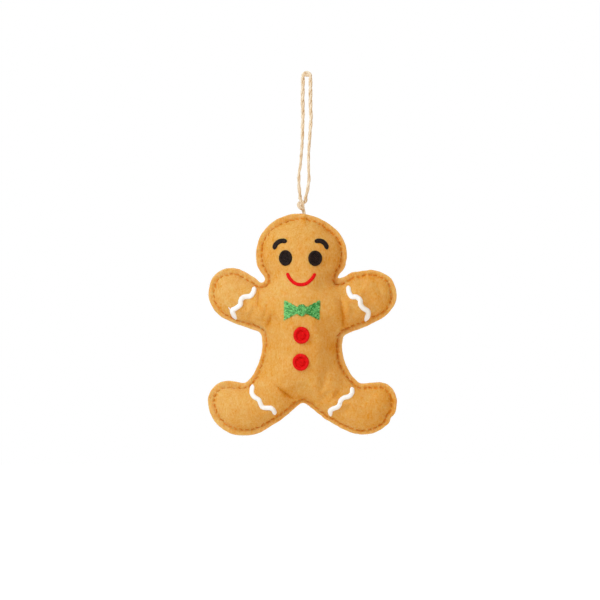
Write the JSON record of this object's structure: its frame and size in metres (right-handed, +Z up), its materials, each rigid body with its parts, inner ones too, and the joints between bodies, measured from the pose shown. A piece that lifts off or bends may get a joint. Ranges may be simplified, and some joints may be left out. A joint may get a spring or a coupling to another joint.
{
  "type": "felt christmas ornament",
  "caption": "Stuffed felt gingerbread man with a stitched edge, embroidered face, bow tie, buttons and icing, hanging from a knotted jute twine loop.",
  "frame": {"origin": "underside of the twine loop's bight, where a hook or twig carries the weight", "axes": "+Z up, the embroidered face looks along -Y, +X to the viewer's right"},
  "size_m": [0.1002, 0.0284, 0.1917],
  "materials": {
    "felt": "matte fuzzy felt",
    "stuffing": "loose polyester fibre",
    "seam_thread": "matte cotton thread",
    "black_thread": "satin embroidery thread",
    "red_thread": "satin embroidery thread",
    "green_thread": "satin embroidery thread",
    "white_thread": "satin embroidery thread",
    "twine": "hairy two-ply jute"
  },
  "bodies": {
    "loop": {"twine_loop": "twine"},
    "knot": {"twine_knot": "twine"},
    "stem": {"twine_stem": "twine"},
    "figure": {"front_panel": "felt", "back_panel": "felt", "twine_anchor": "twine", "head_stuffing": "stuffing", "torso_stuffing": "stuffing", "left_arm_stuffing": "stuffing", "right_arm_stuffing": "stuffing", "left_leg_stuffing": "stuffing", "right_leg_stuffing": "stuffing", "front_seam_thread": "seam_thread", "back_seam_thread": "seam_thread", "left_eye_border": "black_thread", "left_eye_fill": "black_thread", "right_eye_border": "black_thread", "right_eye_fill": "black_thread", "left_eyebrow": "black_thread", "right_eyebrow": "black_thread", "mouth": "red_thread", "bow_tie_left_wing": "green_thread", "bow_tie_right_wing": "green_thread", "bow_tie_knot": "green_thread", "upper_button_border": "red_thread", "upper_button_fill": "red_thread", "lower_button_border": "red_thread", "lower_button_fill": "red_thread", "left_arm_icing": "white_thread", "right_arm_icing": "white_thread", "left_leg_icing": "white_thread", "right_leg_icing": "white_thread"}
  },
  "joints": [
    {"name": "sway", "type": "hinge", "parent": "loop", "child": "knot", "pos_m": [-0.0025, 0, -0.0678], "axis": [0, 1, 0], "range_deg": [-45, 45]},
    {"name": "twirl", "type": "hinge", "parent": "knot", "child": "stem", "pos_m": [-0.0018, 0, -0.0704], "axis": [0, 0, 1], "range_deg": [-180, 180]},
    {"name": "swing", "type": "hinge", "parent": "stem", "child": "figure", "pos_m": [-0.0018, 0, -0.0716], "axis": [1, 0, 0], "range_deg": [-60, 60]}
  ]
}
